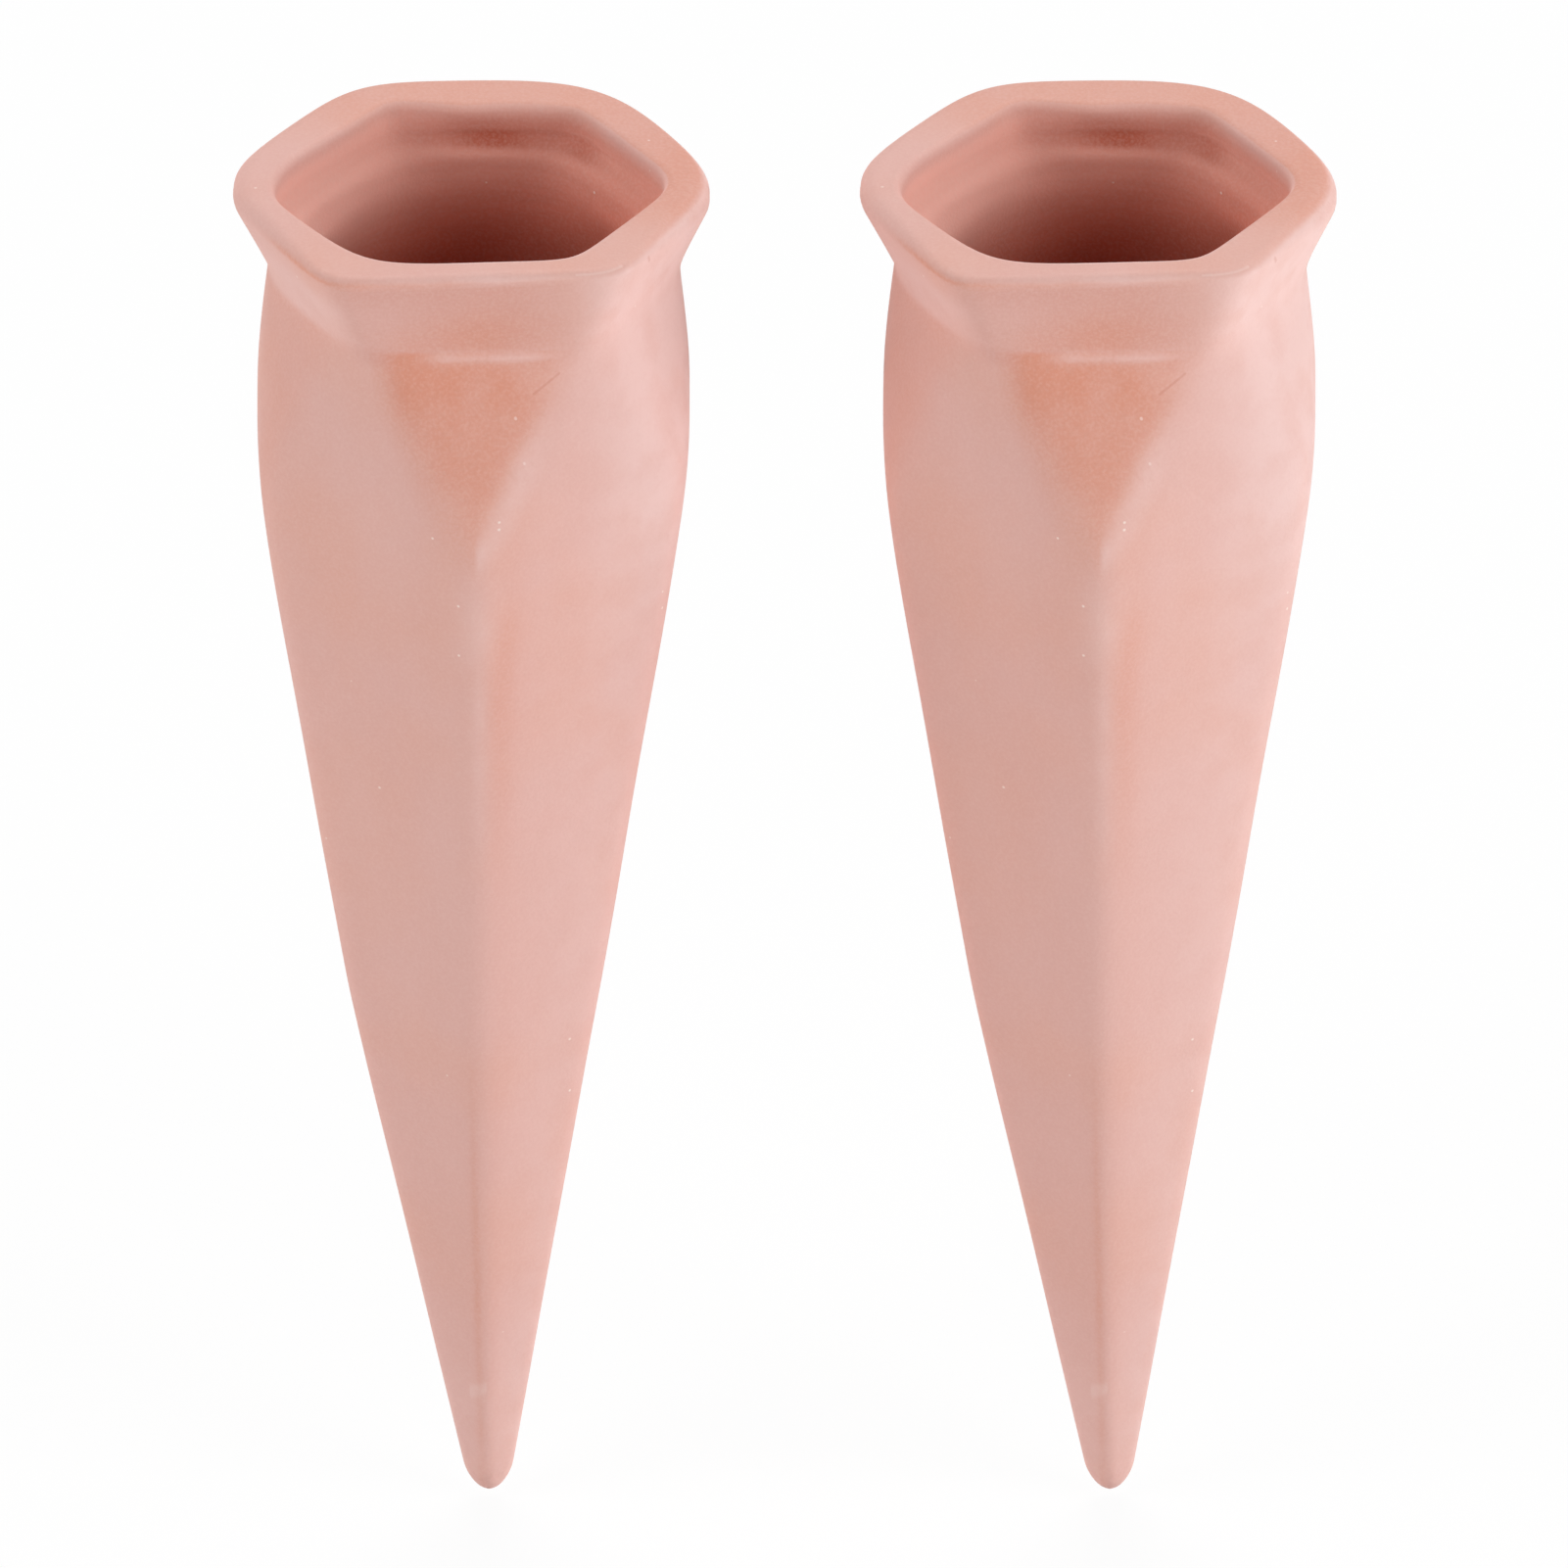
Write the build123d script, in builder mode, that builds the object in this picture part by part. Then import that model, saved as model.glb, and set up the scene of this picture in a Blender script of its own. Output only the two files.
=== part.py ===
from build123d import *
import os
from math import cos, radians, sin, tan

# A pair of self watering spikes for plant pots, each one hollow body of unglazed fired clay.
# A bottle of water stands neck down in the six-sided mouth, and the water seeps out through the
# porous wall of the part that is buried.
# Sizes are in millimetres and angles in degrees. Z is zero at the soil line, in the crease under
# the rim, and the left spike's axis is at X = Y = 0. The front is towards -Y.

# The pair, as it stands
spacing = 74.5
left_turn = 1.5
right_turn = 0.4

# Rim, a hexagon with flats to the front and back. An apothem runs from the axis to a flat.
rim_height = 11.5
rim_apothem = 26.6
rim_corner_radius = 7.5
rim_wall = 6.6
lip_radius = 2.0
mouth_corner_radius = 5.0
mouth_edge_radius = 1.4

# Crease under the rim, a smaller hexagon with its corners in line with the rim's
neck_apothem = 22.0
neck_corner_radius = 5.0

# Six wide faces below the crease, turned by half a side against the rim. They start just outside
# the crease's corners, bulge a little and taper in two straight stretches to the tip.
face_start_gap = 0.1
crown_face_apothem = 25.7
shoulder_face_apothem = 24.6
bend_face_apothem = 15.1
tip_face_apothem = 2.1
crown_depth = 18.0
shoulder_depth = 30.5
bend_depth = 95.6
buried_length = 169.2
tip_end_radius = 1.6
tip_drift = 1.75

# Rounding of the ridges between the wide faces, less towards the tip
shoulder_ridge_radius = 4.6
bend_ridge_radius = 3.2
tip_ridge_radius = 2.0

# Six leaning facets, in line with the rim's flats, that cut off the tops of the ridges
facet_lean = 17.6

# Wall of the buried part, the same all round, and the solid clay at the tip
wall = 4.7
tip_solid_length = 27.0

side_count = 6
half_side_turn = 180.0 / side_count


def level(stand, depth):
    """Plane across the spike at a depth below the soil line, shifted as the tip drifts sideways."""
    drift = tip_drift * max(0.0, depth - bend_depth) / (buried_length - bend_depth)
    centre = stand.from_local_coords(Vector(drift, 0, -depth))
    return Plane(origin=centre, x_dir=stand.x_dir, z_dir=stand.z_dir)


def hexagon(plane, apothem, corner_radius, turn=0.0):
    """Face of a six-sided outline with rounded corners."""
    with BuildSketch(plane) as outline:
        RegularPolygon(apothem, side_count, major_radius=False, rotation=turn)
        fillet(outline.vertices(), corner_radius)
    return outline.sketch.face()


def wide_face_section(stand, depth, apothem, ridge_radius, inset):
    """Section through the six wide faces, drawn in by inset, with its ridges rounded less."""
    inner = apothem - inset
    return hexagon(level(stand, depth), inner, ridge_radius * inner / apothem, half_side_turn)


def corner_reach(apothem, corner_radius):
    """Distance from the axis to the middle of a hexagon's rounded corner."""
    return (apothem - corner_radius) / cos(radians(half_side_turn)) + corner_radius


def below_bend(depth, at_bend, at_tip):
    """A size at a depth between the bend and the tip, where it changes evenly."""
    return at_bend + (at_tip - at_bend) * (depth - bend_depth) / (buried_length - bend_depth)


def buried_form(stand, inset, end_depth):
    """The buried part below the soil line: wide faces, cut by the leaning facets at their top."""
    start_apothem = corner_reach(neck_apothem, neck_corner_radius) + face_start_gap
    start = wide_face_section(stand, 0, start_apothem, shoulder_ridge_radius, inset)
    crown = wide_face_section(stand, crown_depth, crown_face_apothem, shoulder_ridge_radius, inset)
    shoulder = wide_face_section(
        stand, shoulder_depth, shoulder_face_apothem, shoulder_ridge_radius, inset
    )
    bend = wide_face_section(stand, bend_depth, bend_face_apothem, bend_ridge_radius, inset)
    end_apothem = below_bend(end_depth, bend_face_apothem, tip_face_apothem)
    end_radius = below_bend(end_depth, bend_ridge_radius, tip_ridge_radius)
    end = wide_face_section(stand, end_depth, end_apothem, end_radius, inset)

    facet_apothem = neck_apothem - inset
    facet_growth = bend_depth * tan(radians(facet_lean))
    facet_start = hexagon(level(stand, 0), facet_apothem, neck_corner_radius)
    facet_end = hexagon(level(stand, bend_depth), facet_apothem + facet_growth, neck_corner_radius)

    with BuildPart() as form:
        loft([start, crown, shoulder])
        loft([shoulder, bend], ruled=True)
        loft([facet_start, facet_end], ruled=True, mode=Mode.INTERSECT)
        loft([bend, end], ruled=True)
    return form.part


def spike(stand):
    """One spike on a plane at the soil line."""
    rim_top = level(stand, -rim_height)
    crease = hexagon(level(stand, 0), neck_apothem, neck_corner_radius)
    rim_outline = hexagon(rim_top, rim_apothem, rim_corner_radius)

    with BuildPart() as outside:
        add(buried_form(stand, 0, buried_length))
        fillet(outside.faces().sort_by(Axis.Z)[0].edges(), tip_end_radius)
        loft([crease, rim_outline], ruled=True)
        fillet(outside.faces().sort_by(Axis.Z)[-1].edges(), lip_radius)

    throat = hexagon(level(stand, 0), neck_apothem - wall, neck_corner_radius)
    mouth = hexagon(rim_top, rim_apothem - rim_wall, mouth_corner_radius)

    with BuildPart() as hollow:
        add(buried_form(stand, wall, buried_length - tip_solid_length))
        loft([throat, mouth], ruled=True)

    with BuildPart() as clay:
        add(outside.part)
        add(hollow.part, mode=Mode.SUBTRACT)
        mouth_edges = clay.faces().sort_by(Axis.Z)[-1].inner_wires()[0].edges()
        fillet(mouth_edges, mouth_edge_radius)
    return clay


def stand_at(x, turn):
    """Plane at the soil line, turned about the upright axis."""
    facing = (cos(radians(turn)), sin(radians(turn)), 0)
    return Plane(origin=(x, 0, 0), x_dir=facing, z_dir=(0, 0, 1))


os.makedirs("parts", exist_ok=True)

left_spike = spike(stand_at(0, left_turn))
left_spike.part.label = "left_spike"
export_step(left_spike.part, "parts/left_spike.step")

right_spike = spike(stand_at(spacing, right_turn))
right_spike.part.label = "right_spike"
export_step(right_spike.part, "parts/right_spike.step")
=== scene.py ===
import bpy
import numpy as np
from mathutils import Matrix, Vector


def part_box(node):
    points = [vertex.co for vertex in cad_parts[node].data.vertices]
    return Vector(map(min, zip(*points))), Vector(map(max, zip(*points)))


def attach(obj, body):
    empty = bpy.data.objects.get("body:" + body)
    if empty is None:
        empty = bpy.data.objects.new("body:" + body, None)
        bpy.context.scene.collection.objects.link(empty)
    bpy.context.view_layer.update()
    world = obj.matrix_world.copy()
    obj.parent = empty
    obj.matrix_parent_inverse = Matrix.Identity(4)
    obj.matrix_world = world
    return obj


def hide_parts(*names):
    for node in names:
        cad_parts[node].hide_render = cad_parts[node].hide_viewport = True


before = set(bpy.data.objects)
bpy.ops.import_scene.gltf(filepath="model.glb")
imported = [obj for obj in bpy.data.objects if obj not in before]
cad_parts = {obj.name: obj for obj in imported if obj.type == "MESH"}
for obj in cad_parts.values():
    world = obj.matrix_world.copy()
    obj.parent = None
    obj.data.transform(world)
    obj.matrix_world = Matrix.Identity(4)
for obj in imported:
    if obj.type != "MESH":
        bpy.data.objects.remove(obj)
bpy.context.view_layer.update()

# Left spike: one hollow body of unglazed terracotta, cast from slip in a plaster mould and fired.
# A flared six-sided rim stands over a crease, and six leaning facets run from the crease into six
# wide faces that taper to a rounded tip. The mouth was trimmed with a knife while the clay was damp.
MM = 0.001
left_low, left_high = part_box("left_spike")

# Lengths are in millimetres. Depths run down from the rim's top, and azimuths from the front towards
# the right. An apothem is the distance from the axis to a flat side, and a normal is its azimuth.
spike_length = (left_high.z - left_low.z) / MM
crease_depth = left_high.z / MM
wall = 4.7
solid_tip = 27.0
chamber_depth = spike_length - solid_tip
chamber_dome = 2.0
tip_dome = 4.4
tip_drift = 1.6
drift_softness = 4.0

# Sides of the rim and the mouth: front, front right, back right, back, back left, front left
rim_normals = np.radians([1.5, 60.3, 122.8, 175.9, 236.1, 300.3])
rim_apothems = np.array([24.5, 27.6, 27.5, 25.5, 27.2, 28.05])
mouth_normals = np.radians([-1.0, 58.4, 125.3, 173.1, 233.2, 306.7])
mouth_apothems = np.array([20.15, 20.8, 19.6, 17.7, 19.3, 22.2])

# Corners between those sides: front right, right, back right, back left, left, front left
corner_azimuths = np.radians([30.0, 90.0, 150.0, 210.0, 270.0, 330.0])
rim_corner_radii = np.array([6.5, 17.0, 20.1, 17.5, 16.1, 5.5])
crease_corner_radii = np.array([6.6, 16.7, 8.1, 7.3, 27.6, 7.0])
mouth_corner_radii = np.array([6.8, 9.1, 2.2, 4.1, 14.1, 9.7])

# Rounding of the rim's edges. The outer one reaches down and across by shares of its lip radius, the
# inner one by mouth_edge both ways. A lower weight rounds more, and 0.71 is a quarter of a circle.
lip_radii = np.array([0.8, 2.8, 1.8, 2.1, 2.5, 0.8])
lip_drop = 1.35
lip_reach = 1.44
lip_weight = 0.57
mouth_edge = 1.2
mouth_edge_weight = 0.78
rim_sag = 0.28

# Leaning facets, which bulge out of the crease unevenly. The front facet and the two faces beside it
# are turned a little against the others, as in the mould.
facet_normals = np.radians([1.2, 59.6, 119.6, 179.6, 239.6, 299.6])
crease_apothem = 22.0
crease_bulges = np.array([0.0, 1.2, 0.7, 0.4, 0.3, 1.7])
facet_lean = 0.319
bulge_start = 12.0
bulge_end = 46.0
crease_softness = 0.85

# Wide faces: out a little to the shoulder, then in, and a bit faster below the bend
face_normals = np.radians([31.2, 89.6, 149.6, 209.6, 269.6, 331.2])
shoulder_depth = 31.2
shoulder_apothem = 26.34
shoulder_softness = 5.2
crown_growth = 0.093
taper = 0.1461
bend_depth = 107.2
bend_softness = 3.0
lower_taper = 0.1773
ridge_radius = 4.8
tip_ridge_radius = 1.7
ridge_narrowing_depth = 90.0

# Ledge under the front of the crease, and the casting's unevenness as swells. A swell has a height,
# waves round the spike, millimetres of depth to a radian, and a start.
ledge_height = 0.3
swells = [(0.07, 3, 19, 1.3), (0.05, 5, -11, -0.7), (0.04, 2, 6, 2.0)]

# Trimmed mouth: a shallow groove along the trim line, which dips at the back left, with a low bead
# below it, and a swell in the middle of the back wall's top
trim_depth = 4.6
trim_dip = 0.95
trim_softness = 1.2
groove_depths = np.array([0.4, 0.5, 0.65, 0.1, 0.3, 0.3])
bead_height = 0.4
bead_below_trim = 2.8
back_swell = 0.7
throat_softness = 1.2
chamber_rounding = 2.2

# How strongly orange slip stained each facet, and how much pale salt came out along its right edge,
# from the front facet round to the right
facet_slip = np.array([1.0, 0.05, 0.6, 0.9, 0.5, 0.25])
facet_bloom = np.array([1.0, 0.3, 0.4, 0.7, 0.4, 0.1])

# Depths between which the rim passes into the crease, and between which a mark comes and goes along
# the ridges below the facets
crease_start = 11.0
crease_end = 12.2
ridge_stretch = (42, 50, 56, 96)

# A soft minimum to the power 5.17 * apothem / radius reaches as far into a hexagon's corner as an arc
# of that radius does: 5.17 is ln 2 / (1 - cos 30°). Where the rim and the mouth run on into the body,
# their sides come no nearer to the axis than the least apothem.
corner_power = 5.17
least_apothem = 0.5


def smooth_ramp(x, width):
    """Zero below 0 and x above it, blended over a width: half of x plus the root of x² + width²."""
    return 0.5 * (x + np.sqrt(x * x + width * width))


def smooth_step(x, start, end):
    """From 0 at start to 1 at end along the cubic 3t² - 2t³."""
    t = np.clip((x - start) / (end - start), 0, 1)
    return t * t * (3 - 2 * t)


def band(x, start, full, fading, end):
    """From 0 at start to 1 at full, and from 1 at fading back to 0 at end, along the same cubic."""
    return smooth_step(x, start, full) * smooth_step(x, end, fading)


def bell(x, middle, width):
    """A bump of height 1 around middle: e to the power of -((x - middle) / width)²."""
    return np.exp(-(((x - middle) / width) ** 2))


def turned(azimuth, middle):
    """Angle from a middle azimuth, between half a turn one way and half a turn the other."""
    return (azimuth - middle + np.pi) % (2 * np.pi) - np.pi


def side_bell(azimuth, middle, width):
    """A bell around one azimuth of the spike, with its middle and width in radians."""
    return bell(turned(azimuth, middle), 0, width)


def round_the_clock(azimuth, values):
    """Values given at the six corners, carried evenly round the azimuths between them."""
    return np.interp(azimuth, corner_azimuths, values, period=2 * np.pi)


def facing(azimuth, normals):
    """Cosine of the angle to each side's normal, kept at 0.02 or more where the side faces away."""
    return np.maximum(np.cos(azimuth[..., None] - normals), 0.02)


def soft_minimum(azimuth, normals, apothems, typical, k):
    """Distance from the axis to the nearest of several flat sides, with rounded corners between them.

    Side i lies at apothem_i / cos(azimuth - normal_i). The sides join in the sum of their inverse
    distances to the power k, to the power -1/k, where k is larger for a sharper corner. Distances
    are taken as shares of a typical one.
    """
    shares = facing(azimuth, normals) * typical[..., None] / apothems
    return typical * np.sum(shares ** k[..., None], axis=-1) ** (-1 / k)


def soft_polygon(azimuth, normals, apothems, corner_radius):
    """The soft minimum for a polygon, whose mean apothem is its typical distance."""
    typical = np.mean(apothems, axis=-1)
    return soft_minimum(azimuth, normals, apothems, typical, corner_power * typical / corner_radius)


def face_apothem(depth):
    """Axis to a wide face: straight in three stretches, with soft bends at the shoulder and below."""
    past_shoulder = depth - shoulder_depth
    return (
        shoulder_apothem
        + crown_growth * past_shoulder
        - (crown_growth + taper) * smooth_ramp(past_shoulder, shoulder_softness)
        - (lower_taper - taper) * smooth_ramp(depth - bend_depth, bend_softness)
    )


def facet_apothems(depth):
    """Axis to each leaning facet: all lean out alike, but bulge unevenly where they leave the crease."""
    lean = crease_apothem + facet_lean * (depth - crease_depth)
    return lean[..., None] + crease_bulges * smooth_step(depth, bulge_end, bulge_start)[..., None]


def body_radius(azimuth, depth, inset, rounding=1.0):
    """Soft minimum of the six wide faces and the six leaning facets, both drawn in by inset."""
    full = face_apothem(depth)
    faces = full - inset
    facets = facet_apothems(depth) - inset
    normals = np.concatenate([face_normals, facet_normals])
    apothems = np.concatenate([np.repeat(faces[..., None], len(face_normals), -1), facets], -1)
    narrowing = smooth_step(depth, ridge_narrowing_depth, spike_length)
    corner_radius = rounding * (ridge_radius + (tip_ridge_radius - ridge_radius) * narrowing)
    return soft_minimum(azimuth, normals, apothems, faces, corner_power * full / corner_radius)


def rim_radius(azimuth, depth):
    """The flared rim: a polygon whose sides lean in from the lip to the crease."""
    share = depth / crease_depth
    at_crease = crease_apothem + crease_bulges
    apothems = np.maximum(rim_apothems + (at_crease - rim_apothems) * share[..., None], least_apothem)
    top = round_the_clock(azimuth, rim_corner_radii)
    low = round_the_clock(azimuth, crease_corner_radii)
    return soft_polygon(azimuth, rim_normals, apothems, top + (low - top) * np.minimum(share, 1))


def outer_radius(azimuth, depth):
    """Soft maximum of rim and body, which leaves the crease, with hand-cast unevenness on top, less
    where the spike is slim."""
    body = body_radius(azimuth, depth, 0.0)
    radius = body + smooth_ramp(rim_radius(azimuth, depth) - body, crease_softness)
    ledge = side_bell(azimuth, np.radians(6), np.radians(15)) * bell(depth, crease_depth + 0.9, 0.6)
    uneven = sum(
        height * np.sin(waves * azimuth + depth / step + start) for height, waves, step, start in swells
    )
    return radius + ledge_height * ledge + uneven * np.minimum(radius / 20, 1)


def inner_radius(azimuth, depth):
    """The mouth's wall, hollowed along the trim line, then a funnel to the throat, then the chamber."""
    trim_line = trim_depth + trim_dip * side_bell(azimuth, np.radians(-150), 0.36)
    share = smooth_ramp(depth - trim_line, trim_softness) / (crease_depth - trim_depth)
    at_throat = crease_apothem - wall
    apothems = np.maximum(mouth_apothems + (at_throat - mouth_apothems) * share[..., None], least_apothem)
    corners = round_the_clock(azimuth, mouth_corner_radii) + 0.7 * depth
    funnel = soft_polygon(azimuth, mouth_normals, apothems, corners)
    groove = round_the_clock(azimuth, groove_depths) * bell(depth, trim_line, 1.8)
    bead = bead_height * bell(depth, trim_line + bead_below_trim, 1.6)
    swell = back_swell * side_bell(azimuth, np.radians(184), 0.22) * bell(depth, 0, 3.0)
    funnel = funnel + groove - bead - swell
    chamber = body_radius(azimuth, depth, wall, rounding=chamber_rounding)
    return chamber + smooth_ramp(funnel - chamber, throat_softness)


def dome_depths(end_depth, dome, first_angle, count):
    """Depths over a dome, from near its pole to its foot: the end less dome * (1 - cos angle)."""
    return end_depth - dome * (1 - np.cos(np.linspace(first_angle, np.pi / 2, count)))


def dome_share(depth, end_depth, dome):
    """Share of the radius left over a dome: the root of 1 - k², where k grows from 0 to 1 at its end."""
    k = np.maximum(1 - (end_depth - depth) / dome, 0)
    return np.sqrt(1 - k**2)


def stations(*stretches):
    """Depths at even steps along stretches (start, end, count), each without its first depth."""
    return np.concatenate([np.linspace(start, end, count)[1:] for start, end, count in stretches])


def outside_rows(azimuth):
    """Rows of radius and depth from the tip's dome up the faces and the rim, to below the lip."""
    tip = dome_depths(spike_length, tip_dome, 0.1, 16)
    up_the_side = stations(
        (tip[-1], bend_depth, 32), (bend_depth, 52, 30), (52, 16, 42), (16, 9.5, 27), (9.5, 4.1, 13)
    )
    azimuth, depth = np.broadcast_arrays(azimuth, np.concatenate([tip, up_the_side])[:, None])
    return np.stack([outer_radius(azimuth, depth) * dome_share(depth, spike_length, tip_dome), depth])


def inside_rows(azimuth):
    """Rows of radius and depth from the mouth's edge down the throat and the chamber to its dome."""
    bottom = dome_depths(chamber_depth, chamber_dome, 0.15, 8)[::-1]
    down_the_wall = stations((mouth_edge, 16, 44), (16, 60, 20), (60, bottom[0], 22))
    azimuth, depth = np.broadcast_arrays(azimuth, np.concatenate([down_the_wall, bottom[1:]])[:, None])
    return np.stack([inner_radius(azimuth, depth) * dome_share(depth, chamber_depth, chamber_dome), depth])


def arc(start, corner, end, weight, count):
    """Rows between start and end along a conic whose tangents meet at corner (a circle's at a weight
    of the cosine of half its turn): ((1-t)² start + 2wt(1-t) corner + t² end) over the same weights."""
    t = np.linspace(0, 1, count)[:, None]
    a, b, c = (1 - t) ** 2, 2 * weight * t * (1 - t), t**2
    return (a * start + b * corner + c * end) / (a + b + c)


def between(first, last, count):
    """Rows at even steps on straight lines between two rows, without the two themselves."""
    share = np.linspace(0, 1, count + 2)[1:-1, None]
    return first + (last - first) * share


def spike_surface(columns=288):
    """Radius and depth on a grid. Its rows go from the tip up the outside, over the lip and down inside."""
    azimuth = np.linspace(-np.pi, np.pi, columns, endpoint=False)[None, :]
    level = 0 * azimuth
    outside, inside = outside_rows(azimuth), inside_rows(azimuth)

    # Outer edge of the lip, from the leaning side over to the flat top
    lip = round_the_clock(azimuth, lip_radii)
    side = outer_radius(azimuth, level)
    foot = lip_drop * lip
    over_lip = arc(
        np.stack([outer_radius(azimuth, foot), foot]),
        np.stack([side, level]),
        np.stack([side - lip_reach * lip, level]),
        lip_weight, 12,
    )

    # Inner edge of the lip, from the flat top into the mouth
    edge = inner_radius(azimuth, level)
    foot = mouth_edge + level
    into_mouth = arc(
        np.stack([edge + mouth_edge, level]),
        np.stack([edge, level]),
        np.stack([inner_radius(azimuth, foot), foot]),
        mouth_edge_weight, 9,
    )

    under_lip = between(outside[:, -1:], over_lip[:, :1], 3)
    flat_top = between(over_lip[:, -1:], into_mouth[:, :1], 5)
    outer_part = np.concatenate([outside, under_lip, over_lip], axis=1)
    radius, depth = np.concatenate([outer_part, flat_top, into_mouth, inside], axis=1)
    return np.broadcast_to(azimuth, depth.shape), radius, depth, outer_part.shape[1]


def nearest_facet(azimuth):
    """Which leaning facet, or ridge below it, is nearest, and the angle from its middle to the right."""
    from_middles = turned(azimuth[..., None], facet_normals)
    nearest = np.argmin(np.abs(from_middles), -1)
    return nearest, np.take_along_axis(from_middles, nearest[..., None], -1)[..., 0]


def facet_margin(azimuth, depth):
    """How far within a leaning facet a place lies: the wide face's distance less the facet's."""
    to_facet = np.min(facet_apothems(depth) / facing(azimuth, facet_normals), -1)
    to_face = face_apothem(depth) / np.max(facing(azimuth, face_normals), -1)
    return to_face - to_facet


def slip_mark(azimuth, radius, depth):
    """Orange slip: pools on the facets, stains on the rim, and thin lines beside the ridges."""
    nearest, aside = nearest_facet(azimuth)
    across = aside * radius

    # Each pool starts under the crease, thins out downwards, spills over the facet's left edge and is
    # paler at the right
    spill = np.where(aside < 0, -3.4, -2.2)
    on_facet = smooth_step(facet_margin(azimuth, depth), spill, spill + 3.8)
    downwards = smooth_step(depth, crease_start, crease_end) * (1 - 0.68 * smooth_step(depth, 14, 43))
    sideways = smooth_step(aside, -0.6, -0.36) * (1 - 0.3 * smooth_step(aside, 0.05, 0.45))
    pool = facet_slip[nearest] * on_facet * downwards * sideways

    # The rim is stained on its front face, where the stain is also painted shade on that downward face,
    # along the lip's lower edge at the left, and on its top round the back, most at the right
    face_strength = 0.25 + 0.4 * smooth_step(depth, 4, 10)
    above_crease = band(depth, 0.9, 2.0, crease_start, crease_end)
    face_stain_and_shade = face_strength * side_bell(azimuth, -0.02, 0.55) * above_crease
    lip_middle = 0.3 + 0.7 * round_the_clock(azimuth, lip_radii)
    lip_line = 0.7 * bell(depth, lip_middle, 0.45) * band(azimuth, -1.3, -0.8, -0.2, 0.2)
    back_half = smooth_step(np.abs(turned(azimuth, 2.6)), 1.9, 1.2)
    back_strength = 0.35 + 0.3 * side_bell(azimuth, 1.6, 0.6)
    back_top = back_strength * back_half * smooth_step(depth, 3.0, 1.0)

    # The lines run at the right of the ridges below the facets, and at their left near the tip
    ridge_line = 0.35 * bell(across, 2.8, 1.8) * band(depth, *ridge_stretch)
    tip_line = 0.38 * bell(across, -0.9, 0.5) * smooth_step(depth, 105, 140)
    lines = facet_bloom[nearest] * np.maximum(ridge_line, tip_line)
    return np.maximum.reduce([pool, face_stain_and_shade, lip_line, back_top, lines])


def salt_mark(azimuth, radius, depth):
    """Where pale salt is thick: along the facets' right edges, and on the apexes where they end."""
    nearest, aside = nearest_facet(azimuth)
    along_edge = np.where(aside > 0, 1.0, 0.2) * bell(facet_margin(azimuth, depth), -0.5, 1.3)
    edge = 0.6 * along_edge * band(depth, 16, 24, 44, 54)
    apex = 0.5 * bell(aside * radius, 0, 2.6) * bell(depth, 47, 6.5)
    return facet_bloom[nearest] * np.maximum(edge, apex)


def bloom_and_sheen_mark(azimuth, radius, depth):
    """All the pale bloom outside: the thick salt, and thinner on the rim and the ridges, with painted sheen
    at the right and painted highlights on the ledge and the lip's front.
    """
    nearest, aside = nearest_facet(azimuth)
    ridge = 0.3 * facet_bloom[nearest] * bell(aside * radius, 0.1, 1.0) * band(depth, *ridge_stretch)
    # Pale bloom and a painted highlight on the ledge under the front of the crease
    ledge = 0.6 * bell(depth, 12.4, 0.7) * band(azimuth, -0.35, -0.1, 0.3, 0.6)
    rim_left = 0.45 * side_bell(azimuth, -0.85, 0.5) * band(depth, 2, 7, 10.5, 12.4)
    # Painted sheen down the right side, paler where the light from the right grazes it
    right_sheen = (
        0.18 * smooth_step(azimuth, 0.1, 0.4)
        + 0.3 * smooth_step(azimuth, 0.3, 1.0)
        + 0.5 * smooth_step(azimuth, 0.45, 0.95) * smooth_step(depth, 62, 32)
        + 0.35 * smooth_step(azimuth, 0.4, 0.7) * smooth_step(depth, 12, 9)
    )
    right_sheen = right_sheen * smooth_step(azimuth, 3.0, 2.0) * smooth_step(depth, 0.2, 1.2)
    tip = 0.3 * smooth_step(depth, 148, 172)
    salt = salt_mark(azimuth, radius, depth)
    bloom_and_sheen = np.maximum.reduce([salt, ridge, ledge, rim_left, right_sheen]) + tip
    # Painted highlight along the front of the lip's outer edge
    lip_highlight = 0.5 * side_bell(azimuth, 0.1, 0.62) * bell(depth, 0.6, 0.5)
    return np.maximum(np.minimum(bloom_and_sheen, 1), lip_highlight)


def face_shade_mark(azimuth, depth):
    """Painted shade on the rim's front face, which looks down, away from the light above."""
    return 0.5 * band(azimuth, -0.72, -0.45, 0.3, 0.6) * band(depth, 0.9, 2.0, 12.5, 15)


def inside_marks(azimuth, depth):
    """Marks of the mouth and the chamber: how far inside and how deep for painted shade, painted light on
    the left wall, and painted shade in the groove.
    """
    left_wall = side_bell(azimuth, -1.8, 1.0)
    right_wall = side_bell(azimuth, 1.5, 0.8)
    # Painted shade: darker the deeper inside, less on the lit left wall and more on the right
    darkening = (1 - 0.6 * left_wall + 0.65 * right_wall) / 50
    # Painted shade in the groove, most across the back wall under the lip, and a little on the right wall
    back_wall = (
        0.1
        + 0.85 * side_bell(azimuth, np.radians(172), 0.36)
        + 0.45 * side_bell(azimuth, np.radians(139), 0.16)
    )
    in_groove = np.maximum(band(depth, 2.8, 4.4, 5.7, 7.0), 0.5 * bell(depth, 2.6, 2.0))
    right_shade = 0.1 * right_wall * band(depth, 4, 8, 12, 25)
    return {
        "inside": smooth_step(depth, 0.3, 3.2),
        "deep": np.minimum(depth * darkening, 1),
        "painted_light_wall": left_wall * band(depth, 0.8, 2.5, 9, 20),
        "groove": np.maximum(back_wall * in_groove, right_shade),
    }


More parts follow.
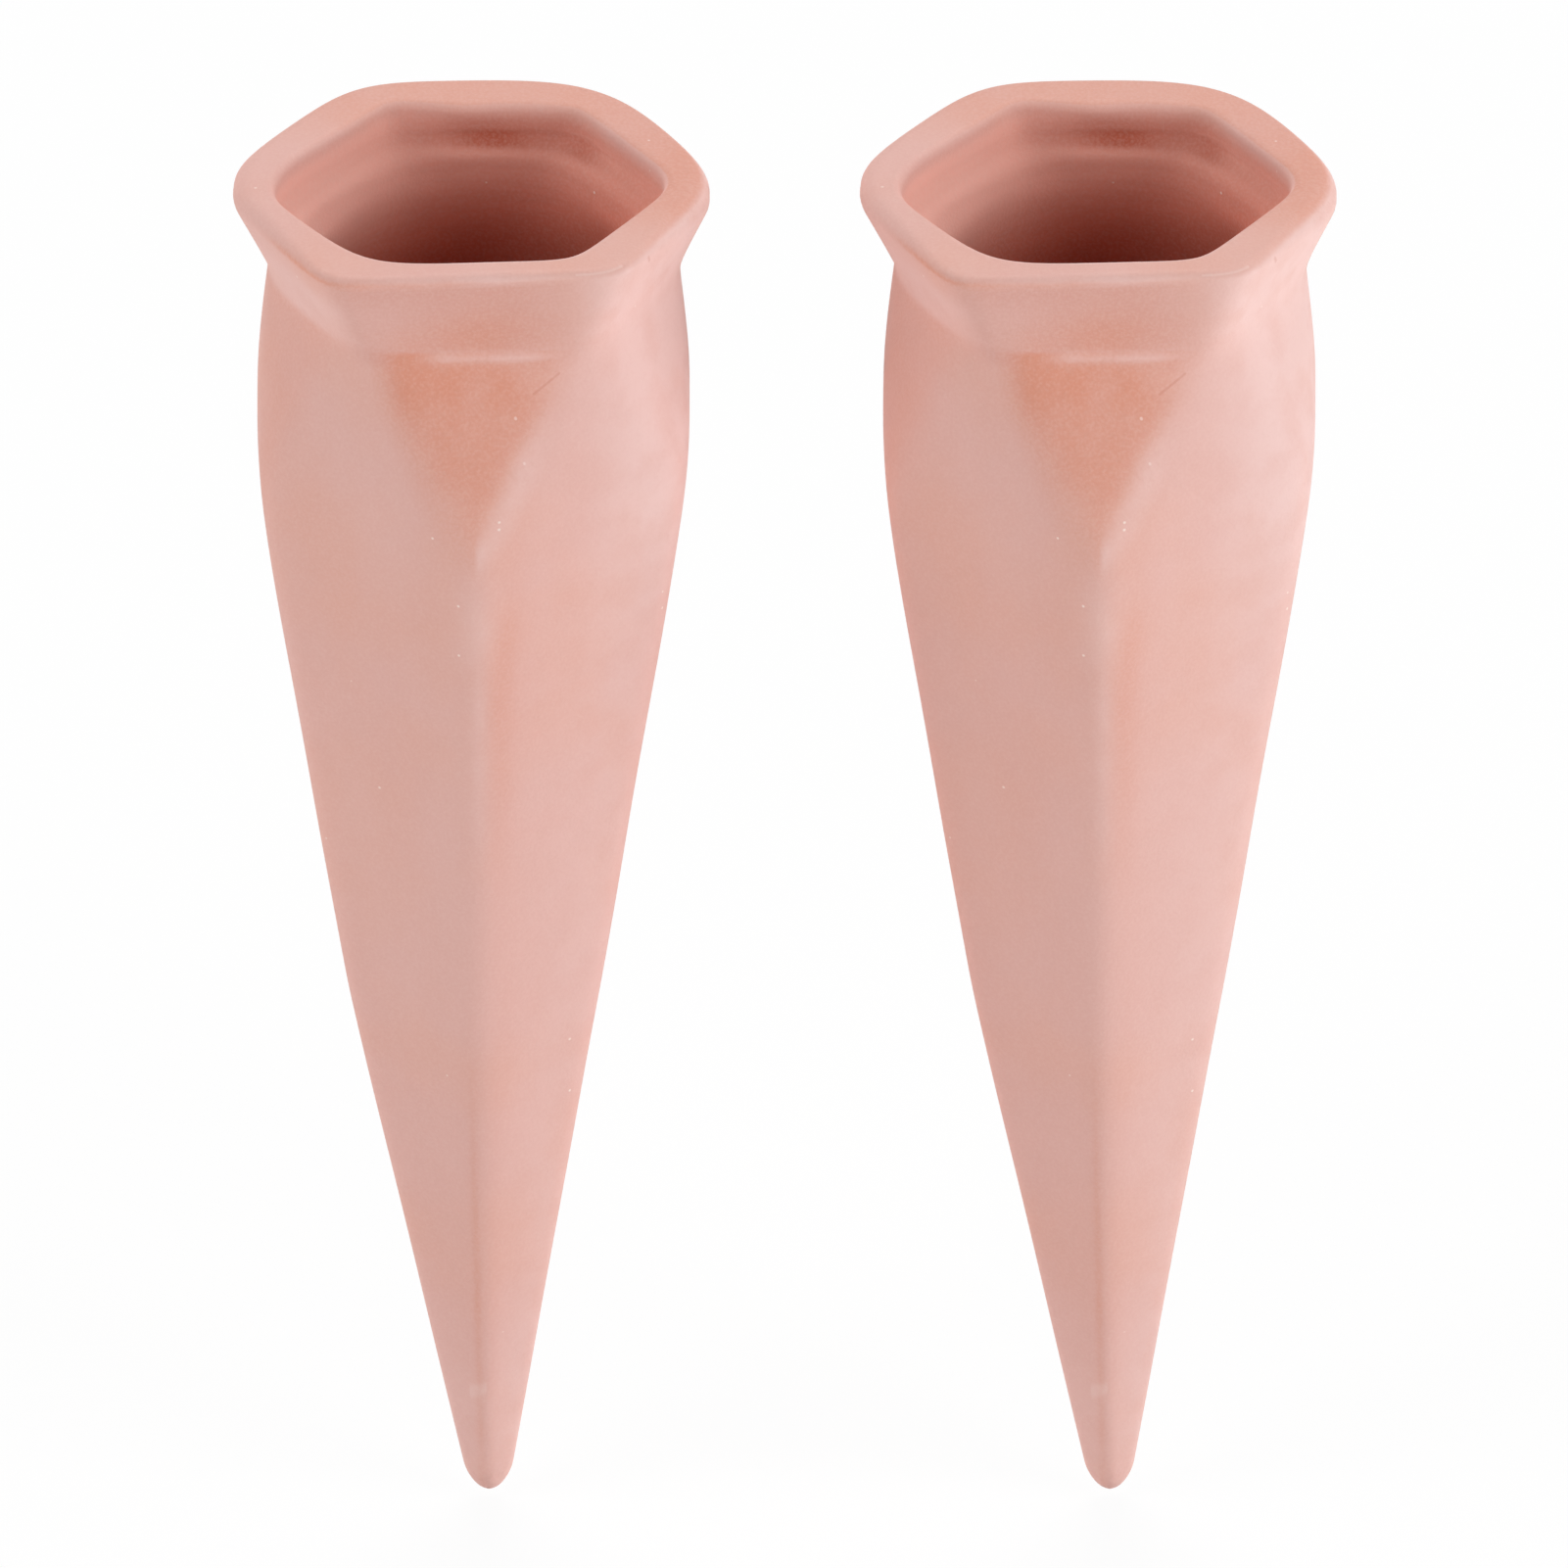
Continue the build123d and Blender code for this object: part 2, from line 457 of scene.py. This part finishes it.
def finish_marks(azimuth, radius, depth, outside):
    """Strength of each finish at each point, by the name of the mark that the material reads.

    Azimuths run from minus half a turn to half a turn. Slip lies on the flat top too, and a painted
    highlight on the mouth's front edge.
    """
    # Painted highlight along the mouth's front edge
    mouth_front_highlight = 1.6 * side_bell(azimuth, 0, 0.6) * bell(depth, 0.12, 0.16) * (depth > 0)
    marks = {
        "slip": np.where(outside | (depth < 0.3), slip_mark(azimuth, radius, depth), 0),
        "bloom_and_sheen": np.where(outside, bloom_and_sheen_mark(azimuth, radius, depth), mouth_front_highlight),
        "salt": np.where(outside, salt_mark(azimuth, radius, depth), 0),
        "face_shade": np.where(outside, face_shade_mark(azimuth, depth), 0),
    }
    for name, values in inside_marks(azimuth, depth).items():
        marks[name] = np.where(outside, 0, values)
    return marks


def spike_points(azimuth, radius, depth, stand, turn):
    """The grid's points and two poles in metres: X and Y are the radius times sine and minus cosine of
    the azimuth, turned about the axis and moved to the stand. The rim's top sags in three waves."""
    sag = rim_sag * (1 - np.sin(3 * azimuth)) * smooth_step(depth, crease_start, 1.0)
    drift = tip_drift * smooth_ramp(depth - bend_depth, drift_softness) / (spike_length - bend_depth)
    across, forward = radius * np.sin(azimuth) + drift, radius * np.cos(azimuth)
    grid = np.stack([across, -forward, crease_depth - depth - sag], -1)
    tip_pole = [tip_drift, 0, crease_depth - spike_length]
    chamber_pole = [drift[-1, 0], 0, crease_depth - chamber_depth]
    points = np.concatenate([grid.reshape(-1, 3), [tip_pole, chamber_pole]]) * MM
    cos, sin = np.cos(turn), np.sin(turn)
    return points @ np.array([[cos, sin, 0], [-sin, cos, 0], [0, 0, 1]]) + np.array(stand)


def spike_faces(row_count, columns):
    """Quads between neighbouring rows, and a fan of triangles at each pole, as lists of point numbers.
    The poles are the two points after the grid's."""
    here = np.arange(row_count * columns).reshape(row_count, columns)
    beside = np.roll(here, -1, 1)
    quads = np.stack([here[:-1], beside[:-1], beside[1:], here[1:]], -1).reshape(-1, 4)
    tip_pole = np.full(columns, row_count * columns)
    tip_fan = np.stack([tip_pole, beside[0], here[0]], -1)
    chamber_fan = np.stack([here[-1], beside[-1], tip_pole + 1], -1)
    return quads.tolist() + tip_fan.tolist() + chamber_fan.tolist()


def make_spike(name, stand, turn):
    """One spike as a closed mesh at its stand, with the marks that its material reads."""
    azimuth, radius, depth, outer_rows = spike_surface()
    row_count, columns = radius.shape
    points = spike_points(azimuth, radius, depth, stand, turn)
    mesh = bpy.data.meshes.new(name)
    mesh.from_pydata(points.tolist(), [], spike_faces(row_count, columns))
    mesh.shade_smooth()

    outside = np.broadcast_to(np.arange(row_count)[:, None] < outer_rows, radius.shape)
    for mark_name, values in finish_marks(azimuth, radius, depth, outside).items():
        # The tip's pole has no mark, and the chamber's is deep inside
        at_poles = [0.0, 1.0 if mark_name in ("inside", "deep") else 0.0]
        layer = mesh.attributes.new(mark_name, "FLOAT", "POINT")
        layer.data.foreach_set("value", np.append(values, at_poles).astype(np.float32))

    piece = bpy.data.objects.new(name, mesh)
    bpy.context.scene.collection.objects.link(piece)
    return piece


# Colours of the fired clay outside, from its body to what lies on it
clay_pink = (0.730, 0.420, 0.368)
clay_orange = (0.735, 0.385, 0.305)
streak_pink = (0.76, 0.47, 0.425)
# Painted shade for the rim's front face
face_shade_brown = (0.64, 0.32, 0.27)
slip_orange = (0.685, 0.285, 0.195)
# Pale bloom, also standing for painted sheen and highlights
bloom_and_sheen_pink = (0.84, 0.60, 0.57)
grain_pale = (0.84, 0.62, 0.56)
sand_rust = (0.60, 0.27, 0.19)
salt_white = (0.90, 0.74, 0.68)
scratch_pale = (0.90, 0.72, 0.68)
scratch_rust = (0.55, 0.19, 0.12)

# Colours inside, darker and redder downwards as painted shade: at each share of the way down from the
# mouth to the dark chamber, and of what differs there
painted_depth_shades = [
    (0.12, (0.78, 0.37, 0.295)),
    (0.3, (0.75, 0.26, 0.187)),
    (0.38, (0.62, 0.18, 0.12)),
    (0.75, (0.25, 0.032, 0.016)),
]
wiped_red = (0.62, 0.22, 0.15)
# Painted light on the mouth's left wall, where the light falls
painted_light_wall_pink = (0.90, 0.49, 0.41)
# Painted shade in the groove
groove_shade_red = (0.45, 0.105, 0.056)
knife_pale = (0.84, 0.52, 0.45)

# Small marks run from one place to another, each given by its azimuth in degrees and its depth, on the
# surface unrolled at unroll_radius. Then follow the width and, outside, the strength and the colour.
outer_scars = [
    ((27.2, 0.38), (39.0, 0.3), 0.16, 0.25, scratch_pale),  # along the lip at the front right
    ((-6.5, 164.5), (11.0, 163.8), 1.5, 0.2, scratch_pale),  # chip across the ridge above the tip
    ((11.6, 19.6), (11.7, 19.7), 0.25, 0.5, scratch_pale),  # pits in the front facet
    ((13.3, 25.1), (13.4, 25.2), 0.22, 0.5, scratch_pale),
    ((24.7, 14.7), (17.1, 16.9), 0.22, 0.28, scratch_rust),  # under the crease at the front right
    ((49.7, 1.5), (50.7, 2.3), 0.3, 0.28, scratch_rust),  # on the lip at the right
]
knife_scars = [((-110, 1.0), (-94, 4.9), 0.3), ((-111, 1.0), (-115, 5.0), 0.25)]
unroll_radius = 25.0


def add_node(tree, kind, inputs=(), **settings):
    """A shader node with its settings, each input set to a value or joined to another's output."""
    node = tree.nodes.new(kind)
    for setting, value in settings.items():
        setattr(node, setting, value)
    for place, value in dict(inputs).items():
        if isinstance(value, bpy.types.NodeSocket):
            tree.links.new(value, node.inputs[place])
        else:
            node.inputs[place].default_value = value
    return node


def calculate(tree, operation, *values):
    """The result of one Math node."""
    return add_node(tree, "ShaderNodeMath", operation=operation, inputs=enumerate(values)).outputs[0]


def times(tree, product, *factors):
    """Values multiplied with each other."""
    for factor in factors:
        product = calculate(tree, "MULTIPLY", product, factor)
    return product


def vector_result(tree, operation, inputs, output="Vector"):
    """The result of one Vector Math node."""
    node = add_node(tree, "ShaderNodeVectorMath", operation=operation, inputs=inputs)
    return node.outputs[output]


def blend_colour(tree, share, below, above):
    """Two colours mixed by a share, each a socket or three numbers. For colours, a Mix node takes its
    inputs 6 and 7 and gives its output 2."""
    colours = [c if isinstance(c, bpy.types.NodeSocket) else (*c, 1) for c in (below, above)]
    inputs = {0: share, 6: colours[0], 7: colours[1]}
    return add_node(tree, "ShaderNodeMix", data_type="RGBA", inputs=inputs).outputs[2]


def remap(tree, value, low, high, to_low=0.0, to_high=1.0):
    """A value stretched from one range to another, smoothly at both ends."""
    node = add_node(tree, "ShaderNodeMapRange", interpolation_type="SMOOTHSTEP", inputs={
        "Value": value, "From Min": low, "From Max": high, "To Min": to_low, "To Max": to_high})
    return node.outputs["Result"]


def noise(tree, where, scale, detail, stretch=(1, 1, 1)):
    """Noise in space, finer along an axis that is stretched more."""
    spread = add_node(tree, "ShaderNodeMapping", inputs={"Vector": where, "Scale": stretch})
    return add_node(tree, "ShaderNodeTexNoise", inputs={
        "Vector": spread.outputs[0], "Scale": scale, "Detail": detail}).outputs["Fac"]


def mark(tree, name):
    """A mark that the mesh carries."""
    return add_node(tree, "ShaderNodeAttribute", attribute_name=name).outputs["Fac"]


def stroke(tree, unrolled, start, end, width):
    """A thin mark between two places: 1 close to the line that joins them, and 0 from a width away."""
    first, last = [
        Vector((np.radians(azimuth) * unroll_radius * MM, 0, (crease_depth - depth) * MM))
        for azimuth, depth in (start, end)
    ]
    length = (last - first).length
    along = (last - first).normalized()
    offset = vector_result(tree, "SUBTRACT", {0: unrolled, 1: first})
    share = vector_result(tree, "DOT_PRODUCT", {0: offset, 1: along}, "Value")
    held = add_node(tree, "ShaderNodeClamp", inputs={"Value": share, "Max": length}).outputs[0]
    foot = vector_result(tree, "SCALE", {0: along, "Scale": held})
    gap = vector_result(tree, "DISTANCE", {0: offset, 1: foot}, "Value")
    return remap(tree, gap, width * MM, 0.3 * width * MM)


def outer_clay(tree, where, slip):
    """Colour outside: pale pink in soft patches and upright streaks, painted shade on the rim's front face,
    slip-stained, bloomed, with painted sheen and highlights in the bloom.
    """
    patches = remap(tree, noise(tree, where, scale=42, detail=3.0), 0.36, 0.66, to_high=0.6)
    colour = blend_colour(tree, patches, clay_pink, clay_orange)
    upright = noise(tree, where, scale=75, detail=3.0, stretch=(1, 1, 0.25))
    colour = blend_colour(tree, remap(tree, upright, 0.35, 0.7, to_high=0.35), colour, streak_pink)
    # Painted shade on the rim's front face, in soft patches
    face_shade_patches = remap(tree, noise(tree, where, scale=90, detail=3.0), 0.25, 0.65, to_low=0.8)
    colour = blend_colour(tree, times(tree, mark(tree, "face_shade"), face_shade_patches), colour, face_shade_brown)
    colour = blend_colour(tree, slip, colour, slip_orange)
    # Pale bloom, which also carries the painted sheen and highlights
    mottle = remap(tree, noise(tree, where, scale=190, detail=4.0), 0.3, 0.62, to_low=0.65)
    bloom_and_sheen = times(tree, mark(tree, "bloom_and_sheen"), mottle, 0.8)
    return blend_colour(tree, bloom_and_sheen, colour, bloom_and_sheen_pink)


def inner_clay(tree, where):
    """Colour inside: redder and darker the deeper it lies as painted shade, with fine lines where it was
    wiped round, painted light on the left wall and painted shade in the groove.
    """
    shades = add_node(tree, "ShaderNodeValToRGB", inputs={"Fac": mark(tree, "deep")})
    ramp = shades.color_ramp.elements
    for position, shade in painted_depth_shades:
        ramp.new(position).color = (*shade, 1)
    ramp.remove(ramp[0])
    ramp.remove(ramp[-1])
    lines = noise(tree, where, scale=55, detail=3.0, stretch=(1, 1, 22))
    wiped = remap(tree, lines, 0.3, 0.7, to_high=0.22)
    colour = blend_colour(tree, wiped, shades.outputs[0], wiped_red)
    colour = blend_colour(tree, mark(tree, "painted_light_wall"), colour, painted_light_wall_pink)
    return blend_colour(tree, mark(tree, "groove"), colour, groove_shade_red)


def salt_specks(tree, where):
    """Round white specks: the middles of a few cells anywhere, and of many where salt is thick."""
    cells = add_node(tree, "ShaderNodeTexVoronoi", inputs={"Vector": where, "Scale": 620})
    middles = remap(tree, cells.outputs["Distance"], 0.15, 0.08)
    lot = add_node(tree, "ShaderNodeSeparateColor", inputs={0: cells.outputs["Color"]}).outputs[0]
    luck = calculate(tree, "MULTIPLY_ADD", mark(tree, "salt"), 0.75, lot)
    return times(tree, middles, remap(tree, luck, 0.98, 0.99))


def add_scars(tree, where, colour):
    """Scratches and chips outside and knife marks inside, placed on the surface unrolled round the axis."""
    split = add_node(tree, "ShaderNodeSeparateXYZ", inputs={0: where}).outputs
    around = calculate(tree, "ARCTAN2", split["X"], times(tree, split["Y"], -1.0))
    unrolled = add_node(tree, "ShaderNodeCombineXYZ", inputs={
        "X": times(tree, around, unroll_radius * MM), "Z": split["Z"]}).outputs[0]
    deep = mark(tree, "deep")
    outside = remap(tree, deep, 0.004, 0.0)
    for start, end, width, strength, scar_colour in outer_scars:
        share = times(tree, stroke(tree, unrolled, start, end, width), outside, strength)
        colour = blend_colour(tree, share, colour, scar_colour)
    for start, end, width in knife_scars:
        share = times(tree, stroke(tree, unrolled, start, end, width), deep, 5.0)
        colour = blend_colour(tree, share, colour, knife_pale)
    return colour


def terracotta(name, stand, turn):
    """Fired clay: pale pink with orange patches, fine grain, chalky wear on edges, painted sheen and
    highlights outside, painted shade inside.
    """
    material = bpy.data.materials.new(name)
    material.use_nodes = True
    tree = material.node_tree
    tree.nodes.clear()
    object_place = add_node(tree, "ShaderNodeTexCoord").outputs["Object"]
    where = add_node(tree, "ShaderNodeMapping", vector_type="TEXTURE", inputs={
        "Vector": object_place, "Location": stand, "Rotation": (0, 0, turn)}).outputs[0]

    mottle = remap(tree, noise(tree, where, scale=140, detail=3.0), 0.25, 0.65, to_low=0.65)
    slip = times(tree, mark(tree, "slip"), mottle)
    outer, inner = outer_clay(tree, where, slip), inner_clay(tree, where)
    colour = blend_colour(tree, mark(tree, "inside"), outer, inner)

    # Fine pale grain, rusty sand, most in the slip, and white specks of salt
    grain = noise(tree, where, scale=2600, detail=2.0)
    colour = blend_colour(tree, remap(tree, grain, 0.35, 0.75, to_high=0.14), colour, grain_pale)
    sand = remap(tree, noise(tree, where, scale=1500, detail=1.0), 0.5, 0.75, to_high=0.15)
    sand = times(tree, calculate(tree, "ADD", slip, 0.25), sand)
    colour = blend_colour(tree, sand, colour, sand_rust)
    specks = salt_specks(tree, where)
    colour = blend_colour(tree, times(tree, specks, 0.8), colour, salt_white)
    colour = add_scars(tree, where, colour)

    height = calculate(tree, "MULTIPLY_ADD", specks, 0.6, grain)
    bump = add_node(tree, "ShaderNodeBump", inputs={
        "Strength": 0.22, "Distance": 0.2 * MM, "Height": height})
    surface = add_node(tree, "ShaderNodeBsdfPrincipled", inputs={
        "Base Color": colour, "Roughness": 0.85, "Specular IOR Level": 0.4, "Normal": bump.outputs[0]})
    add_node(tree, "ShaderNodeOutputMaterial", inputs={"Surface": surface.outputs[0]})
    return material


left_stand = ((left_low.x + left_high.x) / 2, (left_low.y + left_high.y) / 2, 0.0)
left_turn = np.radians(0.27)
left_spike = make_spike("left_spike_clay", left_stand, left_turn)
left_spike.data.materials.append(terracotta("terracotta_left", left_stand, left_turn))
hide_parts("left_spike")
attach(left_spike, "left_spike")

# Right spike: the same casting again, from the same mould, standing beside the left one.
# It is loose of the left spike and lifts out of the soil by itself.
right_low, right_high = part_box("right_spike")
right_stand = ((right_low.x + right_high.x) / 2, (right_low.y + right_high.y) / 2, 0.0)
right_turn = np.radians(-0.27)
right_spike = make_spike("right_spike_clay", right_stand, right_turn)
right_spike.data.materials.append(terracotta("terracotta_right", right_stand, right_turn))
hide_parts("right_spike")
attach(right_spike, "right_spike")

# Floor: a plain white sweep just under the tips, seen as white by the camera but for a faint shadow.
# From below it is clear, so that the spikes show.
floor_reach = 3.0
tip_gap = 1.0 * MM
white = (1, 1, 1, 1)
card_white = (0.9, 0.9, 0.9, 1)
glow_share = 0.93
middle = (left_stand[0] + right_stand[0]) / 2
floor_height = left_low.z - tip_gap
sides = ((-1, -1), (1, -1), (1, 1), (-1, 1))
floor_mesh = bpy.data.meshes.new("floor")
floor_mesh.from_pydata(
    [(middle + x * floor_reach, y * floor_reach, floor_height) for x, y in sides], [], [(0, 1, 2, 3)]
)
floor = bpy.data.objects.new("floor", floor_mesh)
bpy.context.scene.collection.objects.link(floor)

white_card = bpy.data.materials.new("white_card")
white_card.use_nodes = True
tree = white_card.node_tree
tree.nodes.clear()
card = add_node(tree, "ShaderNodeBsdfDiffuse", inputs={"Color": card_white})
glow = add_node(tree, "ShaderNodeEmission", inputs={"Color": white, "Strength": 1.0})
clear = add_node(tree, "ShaderNodeBsdfTransparent")
from_camera = add_node(tree, "ShaderNodeLightPath").outputs["Is Camera Ray"]
from_below = add_node(tree, "ShaderNodeNewGeometry").outputs["Backfacing"]
above = add_node(tree, "ShaderNodeMixShader", inputs={
    0: times(tree, from_camera, glow_share), 1: card.outputs[0], 2: glow.outputs[0]})
both_sides = add_node(tree, "ShaderNodeMixShader", inputs={
    0: times(tree, from_below, from_camera), 1: above.outputs[0], 2: clear.outputs[0]})
add_node(tree, "ShaderNodeOutputMaterial", inputs={"Surface": both_sides.outputs[0]})
floor_mesh.materials.append(white_card)

# Light tent: a white world seen as plain white, also in reflections, with a soft box at the right, a
# weaker one at the left and one high behind, which lights the rims' tops but leaves their fronts duller.
tent_strength = 0.13
box_size = 0.8
box_distance = 1.3
look_below_rim = 83.5 * MM
aim = Vector((middle, 0, left_high.z - look_below_rim))

world = bpy.data.worlds.new("light_tent")
bpy.context.scene.world = world
world.use_nodes = True
tree = world.node_tree
tree.nodes.clear()
tent = add_node(tree, "ShaderNodeBackground", inputs={"Color": white, "Strength": tent_strength})
plain = add_node(tree, "ShaderNodeBackground", inputs={"Color": white, "Strength": 1.0})
rays = add_node(tree, "ShaderNodeLightPath").outputs
seen = calculate(tree, "MAXIMUM", rays["Is Camera Ray"], rays["Is Glossy Ray"])
backdrop = add_node(tree, "ShaderNodeMixShader", inputs={0: seen, 1: tent.outputs[0], 2: plain.outputs[0]})
add_node(tree, "ShaderNodeOutputWorld", inputs={"Surface": backdrop.outputs[0]})


def soft_box(name, azimuth, height, watts):
    """A square lamp turned towards the pair, at an azimuth from the front and a height in degrees."""
    across, up = np.radians(azimuth), np.radians(height)
    towards = Vector((np.sin(across) * np.cos(up), -np.cos(across) * np.cos(up), np.sin(up)))
    lamp = bpy.data.lights.new(name, "AREA")
    lamp.shape = "SQUARE"
    lamp.size = box_size
    lamp.energy = watts
    box = bpy.data.objects.new(name, lamp)
    box.location = aim + box_distance * towards
    box.rotation_euler = (-towards).to_track_quat("-Z", "Y").to_euler()
    bpy.context.scene.collection.objects.link(box)


soft_box("right_box", 61, 20, 12.0)
soft_box("left_box", -64, 25, 8.8)
soft_box("back_box", 180, 55, 10.5)

# Camera: level with the pair's middle, looking down at the rims from the front and far off, so that
# both spikes are seen alike. Its focal length and the pair's shift are in the picture's pixels.
picture_size = 1601
elevation = np.radians(29.74)
camera_distance = 9.0
focal_pixels = 76970
pair_shift = 2.3
camera = bpy.data.cameras.new("camera")
camera.sensor_width = 36.0
camera.lens = focal_pixels / picture_size * camera.sensor_width
camera.clip_end = 40.0
camera_stand = bpy.data.objects.new("camera", camera)
pixel_at_aim = camera_distance / focal_pixels
target = aim - Vector((pair_shift * pixel_at_aim, 0, 0))
backwards = Vector((0, -np.cos(elevation), np.sin(elevation)))
camera_stand.location = target + backwards * camera_distance
camera_stand.rotation_euler = (-backwards).to_track_quat("-Z", "Y").to_euler()
bpy.context.scene.collection.objects.link(camera_stand)
bpy.context.scene.camera = camera_stand
bpy.context.scene.view_settings.view_transform = "Standard"
